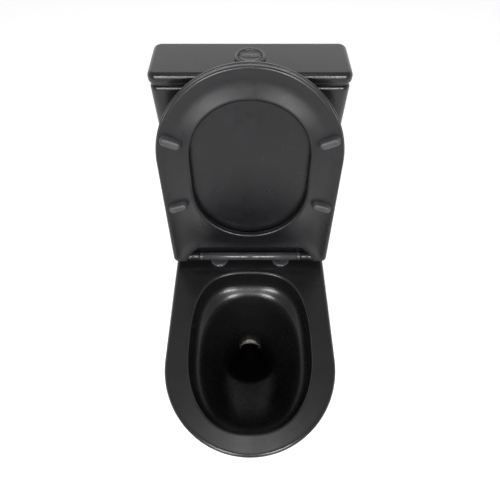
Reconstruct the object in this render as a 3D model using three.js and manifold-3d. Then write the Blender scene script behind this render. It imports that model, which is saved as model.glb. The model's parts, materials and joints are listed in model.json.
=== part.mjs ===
// A close coupled toilet with its seat and lid raised: rimless back-to-wall pan, slim cistern,
// dual flush button, flush valve, fill valve, slim seat and lid on a soft-close hinge, and the fixings.
// Millimetres, +X to the right, +Y towards the wall, +Z up. The origin is the centre of the bounding
// box on the floor. The seat and lid are drawn closed and stand in a group turned to their raised pose.

import * as THREE from "three";
import { mergeVertices } from "three/addons/utils/BufferGeometryUtils.js";
import Module from "manifold-3d";

const wasm = await Module();
wasm.setup();

// ---------------------------------------------------------------- driving dimensions

const GAP = 0.3; // between pieces that touch
const CUT = 2; // how far a cutting solid runs past what it cuts

const DECK_Z = 405; // top of the pan
const FRONT_Y = -340;
const BACK_Y = 340; // against the wall
const CERAMIC = 10; // wall of the pan and the cistern

const RIM = { half: 181, front: FRONT_Y };
const FOOT = { half: 120, front: -225 };
const NOSE = 1.03; // depth of an outline's round front over its half width

const MOUTH = { half: 131, front: -296.5, back: 60.4 };

const HINGE = { y: 96, z: 428 }; // the seat's and lid's common axis
const OPEN_DEG = 101; // from closed to raised
const BARREL = { r: 10, half: 112, bore: 7.4 };
const SHAFT = { r: 4, bore: 4.4 };
const POST = { x: 75, y: 4, r: 7 }; // from the hinge axis

const SEAT = { half: 182.5, front: 445, rear: -10, low: -13, high: 3 };
const SEAT_HOLE = { half: 118, front: 387, rear: 77.5 };
const LID = { half: 186.7, front: 445.5, rear: -10, low: 5, high: 17 };

const CISTERN = { half: 188.5, front: 224, back: 339.5, low: 411, high: 795, corner: 16, floor: 12 };
const COVER = { half: 190, front: 223, back: 340, low: 800, high: 820, corner: 17 };
const VALVE = { x: 0, y: 281 }; // flush valve and button
const FILL = { x: -140, y: 281 };
const BOLT = { x: 80, y: 281 };

// ---------------------------------------------------------------- materials

const finish = (color, roughness, metalness = 0) =>
  new THREE.MeshStandardMaterial({ color, roughness, metalness });
const blackGlaze = finish(0x232326, 0.42);
const blackPlastic = finish(0x2a2a2d, 0.38);
const rubber = finish(0x1c1c1e, 0.85);
const whitePlastic = finish(0xe6e6e2, 0.5);
const bluePlastic = finish(0x3c78b4, 0.45);
const greyPlastic = finish(0x8d9196, 0.5);
const steel = finish(0xb9bbbe, 0.3, 1);

// ---------------------------------------------------------------- solids

// A closed geometry as a manifold-3d solid whose faces point out.
function solid(geometry) {
  const bare = new THREE.BufferGeometry();
  bare.setAttribute("position", geometry.getAttribute("position"));
  if (geometry.index) bare.setIndex(geometry.index);
  const merged = mergeVertices(bare, 1e-3);
  const vertProperties = new Float32Array(merged.attributes.position.array);
  const triVerts = new Uint32Array(merged.index.array);
  const made = new wasm.Manifold(new wasm.Mesh({ numProp: 3, vertProperties, triVerts }));
  if (made.volume() > 0) return made;
  for (let i = 0; i < triVerts.length; i += 3) {
    [triVerts[i + 1], triVerts[i + 2]] = [triVerts[i + 2], triVerts[i + 1]];
  }
  return new wasm.Manifold(new wasm.Mesh({ numProp: 3, vertProperties, triVerts }));
}

const union = (first, ...rest) => rest.reduce((whole, piece) => whole.add(piece), first);
const without = (whole, ...cuts) => cuts.reduce((left, cut) => left.subtract(cut), whole);

// A solid of revolution about a vertical axis at x, y. Its profile is [radius, z] pairs.
function turned(profile, x = 0, y = 0, segments = 20) {
  const closed = profile.every(([r]) => r > 0) ? [...profile, profile[0]] : profile;
  const points = closed.map(([r, z]) => new THREE.Vector2(r, z));
  return solid(new THREE.LatheGeometry(points, segments).rotateX(Math.PI / 2).translate(x, y, 0));
}

const rod = (r, low, high, x = 0, y = 0, segments = 20) =>
  turned([[0, low], [r, low], [r, high], [0, high]], x, y, segments);

const ring = (inner, outer, low, high, x = 0, y = 0, segments = 20) =>
  turned([[inner, low], [outer, low], [outer, high], [inner, high]], x, y, segments);

// A cylinder along X, centred on y, z.
function rodX(r, fromX, toX, y, z, segments = 24) {
  const geometry = new THREE.CylinderGeometry(r, r, toX - fromX, segments).rotateZ(Math.PI / 2);
  return solid(geometry.translate((fromX + toX) / 2, y, z));
}

// A cylinder along Y, centred on x, z.
function rodY(r, fromY, toY, x, z, segments = 16) {
  const geometry = new THREE.CylinderGeometry(r, r, toY - fromY, segments);
  return solid(geometry.translate(x, (fromY + toY) / 2, z));
}

function box(low, high) {
  const size = low.map((v, i) => high[i] - v);
  const centre = low.map((v, i) => (v + high[i]) / 2);
  return solid(new THREE.BoxGeometry(...size).translate(...centre));
}

// A flat outline extruded from low to high, with both edges rounded where soft is given.
function slab(shape, low, high, soft = 0) {
  const geometry = new THREE.ExtrudeGeometry(shape, {
    depth: high - low - 2 * soft,
    bevelEnabled: soft > 0,
    bevelThickness: soft,
    bevelSize: soft,
    bevelOffset: -soft,
    bevelSegments: 1,
  });
  return solid(geometry.translate(0, 0, low + soft));
}

// A solid through closed rings of points, each with the same number of points, capped at both ends.
function loft(rings) {
  const count = rings[0].length;
  const points = rings.flat();
  const faces = [];
  for (let level = 0; level + 1 < rings.length; level++) {
    for (let i = 0; i < count; i++) {
      const a = level * count + i;
      const b = level * count + ((i + 1) % count);
      faces.push(a, b, b + count, a, b + count, a + count);
    }
  }
  [0, rings.length - 1].forEach((level, top) => {
    const middle = rings[level].reduce((sum, p) => sum.add(p), new THREE.Vector3());
    const hub = points.push(middle.divideScalar(count)) - 1;
    for (let i = 0; i < count; i++) {
      const a = level * count + i;
      const b = level * count + ((i + 1) % count);
      faces.push(...(top ? [hub, a, b] : [hub, b, a]));
    }
  });
  return solid(new THREE.BufferGeometry().setFromPoints(points).setIndex(faces));
}

// A tube's section along a curve through points.
function along(points, r, sides, steps) {
  const path = new THREE.CatmullRomCurve3(points.map((p) => new THREE.Vector3(...p)));
  const section = new THREE.Shape().absarc(0, 0, r, 0, 2 * Math.PI);
  const options = { steps, extrudePath: path, curveSegments: sides, bevelEnabled: false };
  return solid(new THREE.ExtrudeGeometry(section, options));
}

const root = new THREE.Group();

function add(name, made, material, parent = root) {
  const mesh = made.getMesh();
  const position = new Float32Array(mesh.numVert * 3);
  for (let i = 0; i < mesh.numVert; i++) {
    position.set(mesh.vertProperties.subarray(i * mesh.numProp, i * mesh.numProp + 3), i * 3);
  }
  const geometry = new THREE.BufferGeometry();
  geometry.setAttribute("position", new THREE.BufferAttribute(position, 3));
  geometry.setIndex(new THREE.BufferAttribute(new Uint32Array(mesh.triVerts), 1));
  geometry.computeVertexNormals();
  const piece = new THREE.Mesh(geometry, material);
  piece.name = name;
  parent.add(piece);
}

const SIDES = [["left", -1], ["right", 1]];

// ---------------------------------------------------------------- outlines

// Points along an arc of an ellipse, both ends included. Angles in degrees.
function arc(x, y, rx, ry, from, to, steps) {
  return Array.from({ length: steps + 1 }, (_, i) => {
    const turn = THREE.MathUtils.degToRad(from + ((to - from) * i) / steps);
    return new THREE.Vector2(x + rx * Math.cos(turn), y + ry * Math.sin(turn));
  });
}

const round = (x, y, r, from, to, steps = 4) => arc(x, y, r, r, from, to, steps);
const atHeight = (points, z) => points.map(({ x, y }) => new THREE.Vector3(x, y, z));

// A flat back, straight sides and a round front: the plan of the pan, the seat and the lid.
function horseshoe(half, front, back, corner, steps = 24) {
  return [
    ...arc(0, front + half * NOSE, half, half * NOSE, 180, 360, steps),
    ...round(half - corner, back - corner, corner, 0, 90, 3),
    ...round(-half + corner, back - corner, corner, 90, 180, 3),
  ];
}

function roundedRectangle(half, front, back, corner) {
  return new THREE.Shape([
    ...round(half - corner, back - corner, corner, 0, 90),
    ...round(-half + corner, back - corner, corner, 90, 180),
    ...round(-half + corner, front + corner, corner, 180, 270),
    ...round(half - corner, front + corner, corner, 270, 360),
  ]);
}

// The bowl's plan: squarer at the back than at the front.
function bowlRing(z, half, front, back, grow = 0, steps = 32) {
  const middle = (front + back) / 2;
  const reach = (back - front) / 2 + grow;
  const power = (v, n) => Math.sign(v) * Math.abs(v) ** (2 / n);
  return Array.from({ length: steps }, (_, i) => {
    const turn = (2 * Math.PI * i) / steps;
    const n = Math.sin(turn) > 0 ? 2.9 : 2.35;
    const x = (half + grow) * power(Math.cos(turn), n);
    return new THREE.Vector3(x, middle + reach * power(Math.sin(turn), n), z);
  });
}

// ---------------------------------------------------------------- pan

const SKIRT_LEVELS = 7;
// The skirt widens between these heights and is still leaning out by its slope at the top.
const FLARE = { from: 70, to: DECK_Z, slope: 0.6 };
const EDGE_R = 9; // round edge of the pan's top
const UNDER_DECK = DECK_Z - 14;
const OUTLET = { z: 180, r: 51, bore: 43, from: 250 };
const INLET = { recess: 46, depth: 26, bore: 27 }; // flush inlet under the cistern
const SCREW = { y: 200, z: 45, hole: 9 }; // side fixing

const throughDeck = (r, x, y, segments = 16) => rod(r, UNDER_DECK - CUT, DECK_Z + CUT, x, y, segments);

// Half width and front of the skirt at a height, pulled in by inset.
function skirt(z, inset = 0) {
  const rise = THREE.MathUtils.clamp((z - FLARE.from) / (FLARE.to - FLARE.from), 0, 1);
  const ease = (3 - FLARE.slope) * rise ** 2 - (2 - FLARE.slope) * rise ** 3;
  const half = THREE.MathUtils.lerp(FOOT.half, RIM.half, ease) - inset;
  const front = THREE.MathUtils.lerp(FOOT.front, RIM.front, ease) + inset;
  return [half, front];
}

// Heights of the bowl's inner surface, each with its half width, front and back.
const BOWL = [
  [DECK_Z + CUT, MOUTH.half, MOUTH.front, MOUTH.back],
  [343, 131, -296, 56],
  [333, 119, -282, 42],
  [300, 104, -256, 26],
  [262, 84, -208, 8],
  [226, 62, -146, -4],
  [190, 42, -106, -12],
  [148, 34, -90, -28],
];

const TRAP_BORE = 27;
const TRAP = [
  [0, -55, 182], [0, -10, 172], [0, 35, 182], [0, 70, 213], [0, 100, 238],
  [0, 135, 244], [0, 170, 224], [0, 200, 196], [0, 240, 181], [0, 300, 180],
];
// The flush water's way from the cistern to the bowl.
const FLUSH_WAY = [[0, 281, 359], [0, 200, 359], [0, 120, 363], [0, 30, 368]];

const bowlInside = () => loft(BOWL.map((level) => bowlRing(...level)).reverse());

// The bowl's outer face, filled, from its top down; clear moves it outwards.
function bowlOutside(top, clear = 0) {
  const grow = CERAMIC + clear;
  const rings = BOWL.map(([z, ...plan], i) => {
    const height = i ? z - (grow * i) / BOWL.length : top;
    return bowlRing(height, ...plan, grow);
  });
  return loft(rings.reverse());
}

// The pan's body between two heights, filled.
function panBody(low, high) {
  const shoulder = DECK_Z - EDGE_R;
  const levels = Array.from({ length: SKIRT_LEVELS }, (_, i) => (i * shoulder) / (SKIRT_LEVELS - 1));
  const rings = levels.map((z) => atHeight(horseshoe(...skirt(z), BACK_Y, 12), z));
  for (const turn of [45, 90].map(THREE.MathUtils.degToRad)) {
    const inset = EDGE_R * (1 - Math.cos(turn));
    const z = shoulder + EDGE_R * Math.sin(turn);
    rings.push(atHeight(horseshoe(...skirt(z, inset), BACK_Y - inset, 12), z));
  }
  const reach = RIM.half + CUT;
  const slice = box([-reach, RIM.front - CUT, low], [reach, BACK_Y + CUT, high]);
  return loft(rings).intersect(slice);
}

// The skirt's wall, open at the back and below, with its two side screw holes.
function panSkirt() {
  const step = UNDER_DECK / (SKIRT_LEVELS - 1);
  const heights = [-CUT, ...Array.from({ length: SKIRT_LEVELS - 1 }, (_, i) => (i + 1) * step)];
  const hollow = loft(heights.map((z) => atHeight(horseshoe(...skirt(z, CERAMIC), BACK_Y + CUT, 12), z)));
  const screwHole = (x) => rodX(SCREW.hole, x - 30, x + 30, SCREW.y, SCREW.z, 16);
  return without(panBody(0, UNDER_DECK - GAP), hollow, screwHole(-100), screwHole(100));
}

// The deck round the bowl's mouth, with the flush inlet's well and its way to the bowl under it.
function panDeck() {
  const inletFloor = DECK_Z - INLET.depth;
  const well = rod(INLET.recess + 8, inletFloor - 28, DECK_Z - 1, VALVE.x, VALVE.y, 32);
  const cuts = [
    bowlInside(),
    bowlOutside(UNDER_DECK, GAP),
    rod(INLET.recess, inletFloor, DECK_Z + CUT, VALVE.x, VALVE.y, 32),
    rod(INLET.bore, inletFloor - 18, inletFloor + CUT, VALVE.x, VALVE.y, 32),
    along(FLUSH_WAY, 14, 4, 4),
    throughDeck(24, FILL.x, FILL.y, 20),
  ];
  for (const [, side] of SIDES) {
    cuts.push(throughDeck(6, side * BOLT.x, BOLT.y));
    cuts.push(throughDeck(8, side * POST.x, HINGE.y + POST.y));
  }
  return without(union(panBody(UNDER_DECK, DECK_Z + CUT), well, along(FLUSH_WAY, 22, 4, 4)), ...cuts);
}

add("pan_skirt", panSkirt(), blackGlaze);
add("pan_deck", panDeck(), blackGlaze);

const bowlWays = union(along(TRAP, TRAP_BORE, 6, 12), along(FLUSH_WAY, 14, 4, 4));
add("pan_bowl", without(bowlOutside(UNDER_DECK - GAP), bowlInside(), bowlWays), blackGlaze);

// The trap and the outlet spigot, from the bowl's outer face to the wall.
function trap() {
  const spigot = rodY(OUTLET.r, OUTLET.from, BACK_Y - 1, 0, OUTLET.z, 28);
  const bore = rodY(OUTLET.bore, OUTLET.from + CERAMIC, BACK_Y + CUT, 0, OUTLET.z, 28);
  const tube = along(TRAP, TRAP_BORE + 8, 6, 12);
  return without(union(tube, spigot), bowlOutside(UNDER_DECK, GAP), along(TRAP, TRAP_BORE, 6, 12), bore);
}

add("pan_trap", trap(), blackGlaze);

for (const [name, side] of SIDES) {
  const wall = skirt(SCREW.z)[0];
  const inner = wall - CERAMIC;
  const place = (made) => (side > 0 ? made : made.mirror([1, 0, 0]));
  const foot = box([inner - 46, SCREW.y - 20, 0], [inner - 1, SCREW.y + 20, 6]);
  const upright = box([inner - 9, SCREW.y - 20, 5], [inner - 1, SCREW.y + 20, 82]);
  const holes = [
    rodX(4.6, inner - 12, inner + CUT, SCREW.y, SCREW.z, 16),
    rod(4, -CUT, 6 + CUT, inner - 28, SCREW.y, 16),
  ];
  add(`floor_bracket_${name}`, place(without(union(foot, upright), ...holes)), greyPlastic);
  const screw = union(
    rodX(4, inner - 24, wall - 5, SCREW.y, SCREW.z, 12),
    rodX(7.5, wall - 9.5, wall - 5, SCREW.y, SCREW.z, 12),
  );
  add(`side_screw_${name}`, place(screw), steel);
  const plug = union(
    rodX(8.5, wall - 4.5, wall + GAP + 1, SCREW.y, SCREW.z, 20),
    rodX(12, wall + GAP + 0.6, wall + 3.2, SCREW.y, SCREW.z, 20),
  );
  add(`side_cap_${name}`, place(plug), blackPlastic);
}

// ---------------------------------------------------------------- cistern

function cistern() {
  const { half, front, back, low, high, corner, floor } = CISTERN;
  const outer = slab(roundedRectangle(half, front, back, corner), low, high, 3);
  const wall = CERAMIC - 1;
  const inside = roundedRectangle(half - wall, front + wall, back - wall, 4);
  const cuts = [slab(inside, low + floor, high + CUT)];
  cuts.push(rod(33, low - CUT, low + floor + CUT, VALVE.x, VALVE.y));
  cuts.push(rod(12, low - CUT, low + floor + CUT, FILL.x, FILL.y));
  for (const [, side] of SIDES) {
    cuts.push(rod(6, low - CUT, low + floor + CUT, side * BOLT.x, BOLT.y, 16));
  }
  return without(outer, ...cuts);
}

add("cistern", cistern(), blackGlaze);

const TANK_FLOOR = CISTERN.low + CISTERN.floor;

// The foam ring that seals the cistern to the pan, round the flush valve's nut.
const SPUD = [[30, 379.4], [45.5, 379.4], [45.5, 410.7], [39.5, 410.7], [39.5, 386], [30, 384]];
add("cistern_gasket", turned(SPUD, VALVE.x, VALVE.y), rubber);

for (const [name, side] of SIDES) {
  const x = side * BOLT.x;
  const bolt = union(rod(4, 362, 432, x, BOLT.y, 16), rod(9, 430, 436, x, BOLT.y, 6));
  add(`cistern_bolt_${name}`, bolt, steel);
  add(`bolt_seal_${name}`, ring(4.5, 11, TANK_FLOOR + GAP, 429.6, x, BOLT.y, 20), rubber);
  const wings = box([x - 16, BOLT.y - 2, 380], [x + 16, BOLT.y + 2, 389]);
  const hub = rod(9, 381, UNDER_DECK - GAP, x, BOLT.y, 16);
  add(`wing_nut_${name}`, without(union(hub, wings), rod(4.4, 370, 400, x, BOLT.y, 16)), steel);
}

// ---------------------------------------------------------------- cistern lid and flush button

const button = { hole: 25, sleeve: 24, bore: 22.6, flange: 30 };
const BUTTON_TURN = THREE.MathUtils.degToRad(-6); // the button sits turned a little in its hole

function cisternLid() {
  const { half, front, back, low, high, corner } = COVER;
  const land = 4; // shadow gap over the cistern's edge
  const lip = 11;
  const plate = slab(roundedRectangle(half, front, back, corner), low, high, 4);
  const rest = roundedRectangle(half - land, front + land, back - land, corner - land);
  const tongue = roundedRectangle(half - lip, front + lip, back - lip, 8);
  const hollow = roundedRectangle(half - lip - 7, front + lip + 7, back - lip - 7, 5);
  const made = union(plate, slab(rest, CISTERN.high + GAP, low + 1), slab(tongue, 786, low + 1));
  return without(made, slab(hollow, 784, low), rod(button.hole, 780, high + CUT, VALVE.x, VALVE.y));
}

add("cistern_lid", cisternLid(), blackGlaze);

const TOP = COVER.high;
const turnedButton = new THREE.Group();
turnedButton.position.set(VALVE.x, VALVE.y, 0);
turnedButton.rotation.z = BUTTON_TURN;
root.add(turnedButton);

const BEZEL = [
  [button.bore, 776], [button.sleeve, 776], [button.sleeve, TOP + GAP],
  [button.flange, TOP + GAP], [button.flange, TOP + 3], [button.flange - 2, TOP + 5],
  [button.bore + 1, TOP + 5], [button.bore, TOP + 4],
];
add("button_bezel", turned(BEZEL, 0, 0, 32), blackPlastic, turnedButton);
add("button_nut", ring(button.sleeve + 0.4, 32, 788, COVER.low - GAP), whitePlastic, turnedButton);

// One half of the round button: a cap with a stem that holds its rod. Side 1 is the back half.
function halfButton(side) {
  const r = button.bore - 0.6;
  const edge = THREE.MathUtils.radToDeg(Math.asin(0.5 / r));
  const cap = slab(new THREE.Shape(round(0, 0, r, edge, 180 - edge, 16)), TOP - 6, TOP + 4);
  const stem = rod(5, 792, TOP - 5, side * 8, 11, 16);
  const made = union(cap, stem);
  return side > 0 ? made : made.mirror([0, 1, 0]);
}

const ROD = { r: 2.6, low: 645.6, high: 791.7 };
for (const [name, side] of [["full", 1], ["half", -1]]) {
  add(`${name}_flush_button`, halfButton(side), blackPlastic, turnedButton);
  const place = new THREE.Vector2(side * 8, side * 11).rotateAround(new THREE.Vector2(), BUTTON_TURN);
  const spot = [VALVE.x + place.x, VALVE.y + place.y];
  add(`${name}_flush_rod`, rod(ROD.r, ROD.low, ROD.high, ...spot, 12), whitePlastic);
}

// ---------------------------------------------------------------- flush valve

const SEAT_TOP = 436; // the lip that the seal closes on
const valveSeat = [
  [26, 390], [31, 390], [31, 426.3], [42, 426.3], [42, 431], [29, 431], [29, SEAT_TOP], [26, SEAT_TOP],
];
add("flush_valve_seat", turned(valveSeat, VALVE.x, VALVE.y), whitePlastic);
add("flush_valve_gasket", ring(31.5, 41, TANK_FLOOR + GAP, 426, VALVE.x, VALVE.y), rubber);
const spudNut = without(rod(38.5, 398, 410.7, VALVE.x, VALVE.y, 8), rod(31.5, 390, 420, VALVE.x, VALVE.y));
add("flush_valve_nut", spudNut, whitePlastic);

const TOWER = { inner: 31, outer: 35, low: 475, high: 580, top: 650 };
const PIVOT = { x: 26, z: 637, r: 2.5 };
const LEVER = { y: [8, 14], press: 8, lift: 48 };

function tower() {
  const foot = ring(TOWER.inner + 2, 41, 431.3, 440);
  const pieces = [foot, ring(TOWER.inner, TOWER.outer, TOWER.low, TOWER.high)];
  for (let i = 0; i < 4; i++) {
    const leg = box([33, -6, 438], [35, 6, TOWER.low + 2]);
    pieces.push(leg.rotate([0, 0, 45 + 90 * i]));
  }
  for (const side of [1, -1]) {
    for (const [near, far] of [[4, 7], [15, 18]]) {
      const foot = box([18, near, TOWER.high - 12], [34, far, TOWER.high + 4]);
      const plate = box([20, near, TOWER.high - 12], [32, far, TOWER.top]);
      const arm = union(foot, plate);
      pieces.push(side > 0 ? arm : arm.rotate([0, 0, 180]));
    }
  }
  const pivotHoles = [
    rodY(PIVOT.r + 0.4, 0, 24, PIVOT.x, PIVOT.z),
    rodY(PIVOT.r + 0.4, -24, 0, -PIVOT.x, PIVOT.z),
  ];
  return without(union(...pieces), ...pivotHoles).translate([VALVE.x, VALVE.y, 0]);
}

add("flush_valve_tower", tower(), whitePlastic);

// A rocker: its inner end is pressed by a rod and its outer end lifts a hook.
function rocker() {
  const [near, far] = LEVER.y;
  const bar = box([PIVOT.x - 22, near, PIVOT.z + 2], [LEVER.lift, far, PIVOT.z + 5]);
  const web = box([PIVOT.x - 5, near, PIVOT.z - 2], [PIVOT.x + 5, far, PIVOT.z + 3]);
  const pin = rodY(PIVOT.r, 4.2, 17.8, PIVOT.x, PIVOT.z);
  const pad = rod(5, PIVOT.z + 2, PIVOT.z + 8, LEVER.press, 11, 12);
  return union(bar, web, pin, pad.intersect(box([0, near, 600], [20, far, 700])));
}

const atValve = (made) => made.translate([VALVE.x, VALVE.y, 0]);
add("full_flush_rocker", atValve(rocker()), bluePlastic);
add("half_flush_rocker", atValve(rocker().rotate([0, 0, 180])), greyPlastic);

// The arm that a rocker lifts: out from the centre, up, and hooked in over the rocker's outer end.
function hook(fromX, low) {
  const [near, far] = [LEVER.y[0] + 0.5, LEVER.y[1] - 0.5];
  const top = PIVOT.z + 6;
  return union(
    box([fromX, near, low], [LEVER.lift + 7, far, low + 7]),
    box([LEVER.lift + 3, near, low], [LEVER.lift + 7, far, top + 5]),
    box([LEVER.lift - 5, near, top], [LEVER.lift + 7, far, top + 5]),
  );
}

const TUBE = { inner: 12, outer: 14, top: 600 };
const tubeParts = union(
  rod(TUBE.outer, 443, TUBE.top),
  rod(29.5, 440, 446),
  hook(2, 588),
);
const overflow = without(tubeParts, rod(TUBE.inner, 430, TUBE.top + CUT));
add("overflow_tube", overflow.translate([VALVE.x, VALVE.y, 0]), bluePlastic);
add("flush_valve_seal", ring(TUBE.inner + 1, 29.5, SEAT_TOP + GAP, 439.7, VALVE.x, VALVE.y), rubber);

const floatRing = union(ring(15.5, 28, 495, 545), box([17, 8.5, 540], [24, 13.5, 595]), hook(17, 588));
add("half_flush_float", atValve(floatRing.rotate([0, 0, 180])), greyPlastic);

// ---------------------------------------------------------------- fill valve

const LEVER_ARM = { pivot: -6, tip: 19, z: 733 };
const fillBody = [
  [5, 386], [10, 386], [10, 426], [16, 426], [16, 430], [11.5, 431], [11.5, 548], [15.8, 548],
  [15.8, 552], [11.5, 552], [11.5, 700], [16, 702], [16, 726], [5, 726],
];
const ear = (from, to) => box([LEVER_ARM.pivot - 4, from, 722], [LEVER_ARM.pivot + 4, to, 738]);
const earHole = rodY(2.4, -12, 12, LEVER_ARM.pivot, LEVER_ARM.z);
const fillValve = without(union(turned(fillBody), ear(-9, -6.5), ear(6.5, 9)), earHole);
add("fill_valve_body", fillValve.translate([FILL.x, FILL.y, 0]), whitePlastic);
add("fill_valve_washer", ring(10.4, 16, TANK_FLOOR + GAP, 425.7, FILL.x, FILL.y), rubber);
const fillNut = without(rod(18, 401, 410.7, FILL.x, FILL.y, 6), rod(10.4, 395, 420, FILL.x, FILL.y));
add("fill_valve_nut", fillNut, whitePlastic);

const arm = union(
  box([LEVER_ARM.pivot - 4, -5.5, LEVER_ARM.z - 2], [LEVER_ARM.tip + 4, 5.5, LEVER_ARM.z + 2]),
  rodY(2, -8.8, 8.8, LEVER_ARM.pivot, LEVER_ARM.z),
);
add("fill_valve_lever", arm.translate([FILL.x, FILL.y, 0]), bluePlastic);

const cup = union(ring(13, 24, 560, 612), rod(2, 608, LEVER_ARM.z - 2.6, LEVER_ARM.tip, 0, 10));
add("fill_valve_float", cup.translate([FILL.x, FILL.y, 0]), greyPlastic);

// ---------------------------------------------------------------- hinge

function bothSides(make) {
  return SIDES.map(([, side]) => make(side));
}

// A fixed housing on two stubs, each over a post that is clamped into the pan.
function barrel() {
  const { y, z } = HINGE;
  const stubs = bothSides((side) => rod(POST.r, z - 17.2, z - 6, side * POST.x, y + POST.y, 20));
  const sockets = bothSides((side) => rod(4.4, z - 20, z - 9.2, side * POST.x, y + POST.y, 16));
  const housing = rodX(BARREL.r, -BARREL.half, BARREL.half, y, z, 28);
  const bore = rodX(BARREL.bore, -BARREL.half - CUT, BARREL.half + CUT, y, z, 20);
  return without(union(housing, ...stubs), bore, ...sockets);
}

add("hinge_barrel", barrel(), blackPlastic);

const HINGE_POST = [
  [0, 350], [3, 350], [3, DECK_Z + 5.8], [4, DECK_Z + 5.8], [4, HINGE.z - 9.6], [0, HINGE.z - 9.6],
];
const ROSETTE = [
  [3.4, DECK_Z + GAP], [21, DECK_Z + GAP], [21, DECK_Z + 3], [19, DECK_Z + 5.4], [3.4, DECK_Z + 5.4],
];
const ANCHOR = [[3.4, 363], [9.5, 364], [7.5, 388], [7.5, DECK_Z], [3.4, DECK_Z]]; // swells under the deck

for (const [name, side] of SIDES) {
  const spot = [side * POST.x, HINGE.y + POST.y];
  add(`hinge_post_${name}`, turned(HINGE_POST, ...spot, 16), steel);
  add(`hinge_rosette_${name}`, turned(ROSETTE, ...spot, 28), blackPlastic);
  add(`hinge_anchor_${name}`, turned(ANCHOR, ...spot, 16), rubber);
  const nut = without(rod(6.5, 356, 362.6, ...spot, 6), rod(3.4, 350, 370, ...spot, 12));
  add(`hinge_nut_${name}`, nut, steel);
}
add("lid_damper", rodX(7, -107, -56, HINGE.y, HINGE.z), greyPlastic);
add("seat_damper", rodX(7, 56, 107, HINGE.y, HINGE.z), greyPlastic);

// ---------------------------------------------------------------- seat and lid

// Both are drawn closed about the hinge axis, their fronts towards -Y, then turned to the raised pose.
const raised = new THREE.Group();
raised.position.set(0, HINGE.y, HINGE.z);
raised.rotation.x = THREE.MathUtils.degToRad(-OPEN_DEG);
root.add(raised);

const KNUCKLE = { lid: [112.4, 120.4], seat: [120.8, 128], end: 153 };
const RECESS = { near: 127, far: 149, depth: 34 }; // the seat's rear edge steps back from the barrel
const CLEAR_R = BARREL.r + 1; // what swings past the barrel keeps this far from the axis

// A cylinder on the hinge axis between two distances from the middle, on one side.
function onAxis(r, [near, far], side, segments = 24) {
  return rodX(r, side > 0 ? near : -far, side > 0 ? far : -near, 0, 0, segments);
}

function seat() {
  const { half, front, rear, low, high } = SEAT;
  const hole = SEAT_HOLE;
  const shape = new THREE.Shape(horseshoe(half, -front, -rear, 13));
  shape.holes.push(new THREE.Path([
    ...round(0, -hole.front + hole.half, hole.half, 180, 360, 16),
    ...round(0, -hole.rear - hole.half, hole.half, 0, 180, 16),
  ]));
  const step = [[RECESS.far, 12], [RECESS.far, -8], [RECESS.near, -RECESS.depth]];
  const mirroredStep = step.map(([x, y]) => [-x, y]).reverse();
  const corners = [...step, ...mirroredStep].map((corner) => new THREE.Vector2(...corner));
  const recess = slab(new THREE.Shape(corners), low - CUT, high + CUT);
  const knuckles = bothSides((side) => onAxis(BARREL.r, [KNUCKLE.seat[0], KNUCKLE.end], side));
  const bores = bothSides((side) => onAxis(SHAFT.bore, [KNUCKLE.seat[0] - CUT, KNUCKLE.seat[1]], side, 16));
  return without(union(without(slab(shape, low, high, 2.5), recess), ...knuckles), ...bores);
}

add("seat", seat(), blackPlastic, raised);

function lid() {
  const { half, front, rear, low, high } = LID;
  const cuts = [onAxis(CLEAR_R, [0, BARREL.half + 0.2], 1), onAxis(CLEAR_R, [0, BARREL.half + 0.2], -1)];
  for (const [, side] of SIDES) {
    const x = side * POST.x;
    cuts.push(onAxis(CLEAR_R, [KNUCKLE.seat[0] - 0.2, KNUCKLE.end + 1], side));
    cuts.push(box([x - POST.r - 2, 1, low - CUT], [x + POST.r + 2, 1 - rear, high + CUT]));
  }
  const knuckles = bothSides((side) => onAxis(BARREL.r, KNUCKLE.lid, side));
  const through = [KNUCKLE.lid[0] - CUT, KNUCKLE.lid[1] + CUT];
  const bores = bothSides((side) => onAxis(SHAFT.bore, through, side, 16));
  const plate = slab(new THREE.Shape(horseshoe(half, -front, -rear, 15)), low, high, 3);
  return without(union(without(plate, ...cuts), ...knuckles), ...bores);
}

add("lid", lid(), blackPlastic, raised);

add("lid_shaft", onAxis(SHAFT.r, [107.3, 127.6], -1, 16), steel, raised);
add("seat_shaft", onAxis(SHAFT.r, [107.3, 127.6], 1, 16), steel, raised);

// Pads under the seat that rest on the pan: long lozenges that point outwards.
const BUMPER = { length: 42, width: 19, low: -22.7 };
const BUMPERS = [["front", 149, 308, 20], ["rear", 152, 158, -16]]; // place, x, reach from the axis, turn

function bumper(x, forward, turn, side) {
  const r = BUMPER.width / 2;
  const reach = BUMPER.length / 2 - r;
  const shape = new THREE.Shape([...round(reach, 0, r, -90, 90), ...round(-reach, 0, r, 90, 270)]);
  const pad = slab(shape, BUMPER.low, SEAT.low - GAP, 2);
  return pad.rotate([0, 0, -side * turn]).translate([side * x, -forward, 0]);
}

for (const [place, x, forward, turn] of BUMPERS) {
  for (const [name, side] of SIDES) {
    add(`seat_bumper_${place}_${name}`, bumper(x, forward, turn, side), rubber, raised);
  }
}

for (const [name, side] of SIDES) {
  const pad = rod(8, SEAT.high + GAP, LID.low - GAP, side * 120, -360, 16);
  add(`lid_buffer_${name}`, pad, rubber, raised);
}

export default root;
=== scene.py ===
import json
import math

import bmesh
import bpy
from mathutils import Matrix, Vector


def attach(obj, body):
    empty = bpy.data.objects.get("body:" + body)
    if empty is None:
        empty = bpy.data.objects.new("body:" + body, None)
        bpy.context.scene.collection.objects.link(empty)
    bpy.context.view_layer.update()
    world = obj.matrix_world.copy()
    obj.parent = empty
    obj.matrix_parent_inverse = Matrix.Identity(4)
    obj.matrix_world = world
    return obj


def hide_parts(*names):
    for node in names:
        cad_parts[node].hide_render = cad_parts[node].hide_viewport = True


# Looks of a close coupled toilet in satin black: pan, cistern, flush button, seat and lid raised.
# The shapes are written in millimetres and become metres when a piece is made. +Y is the wall.

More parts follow.
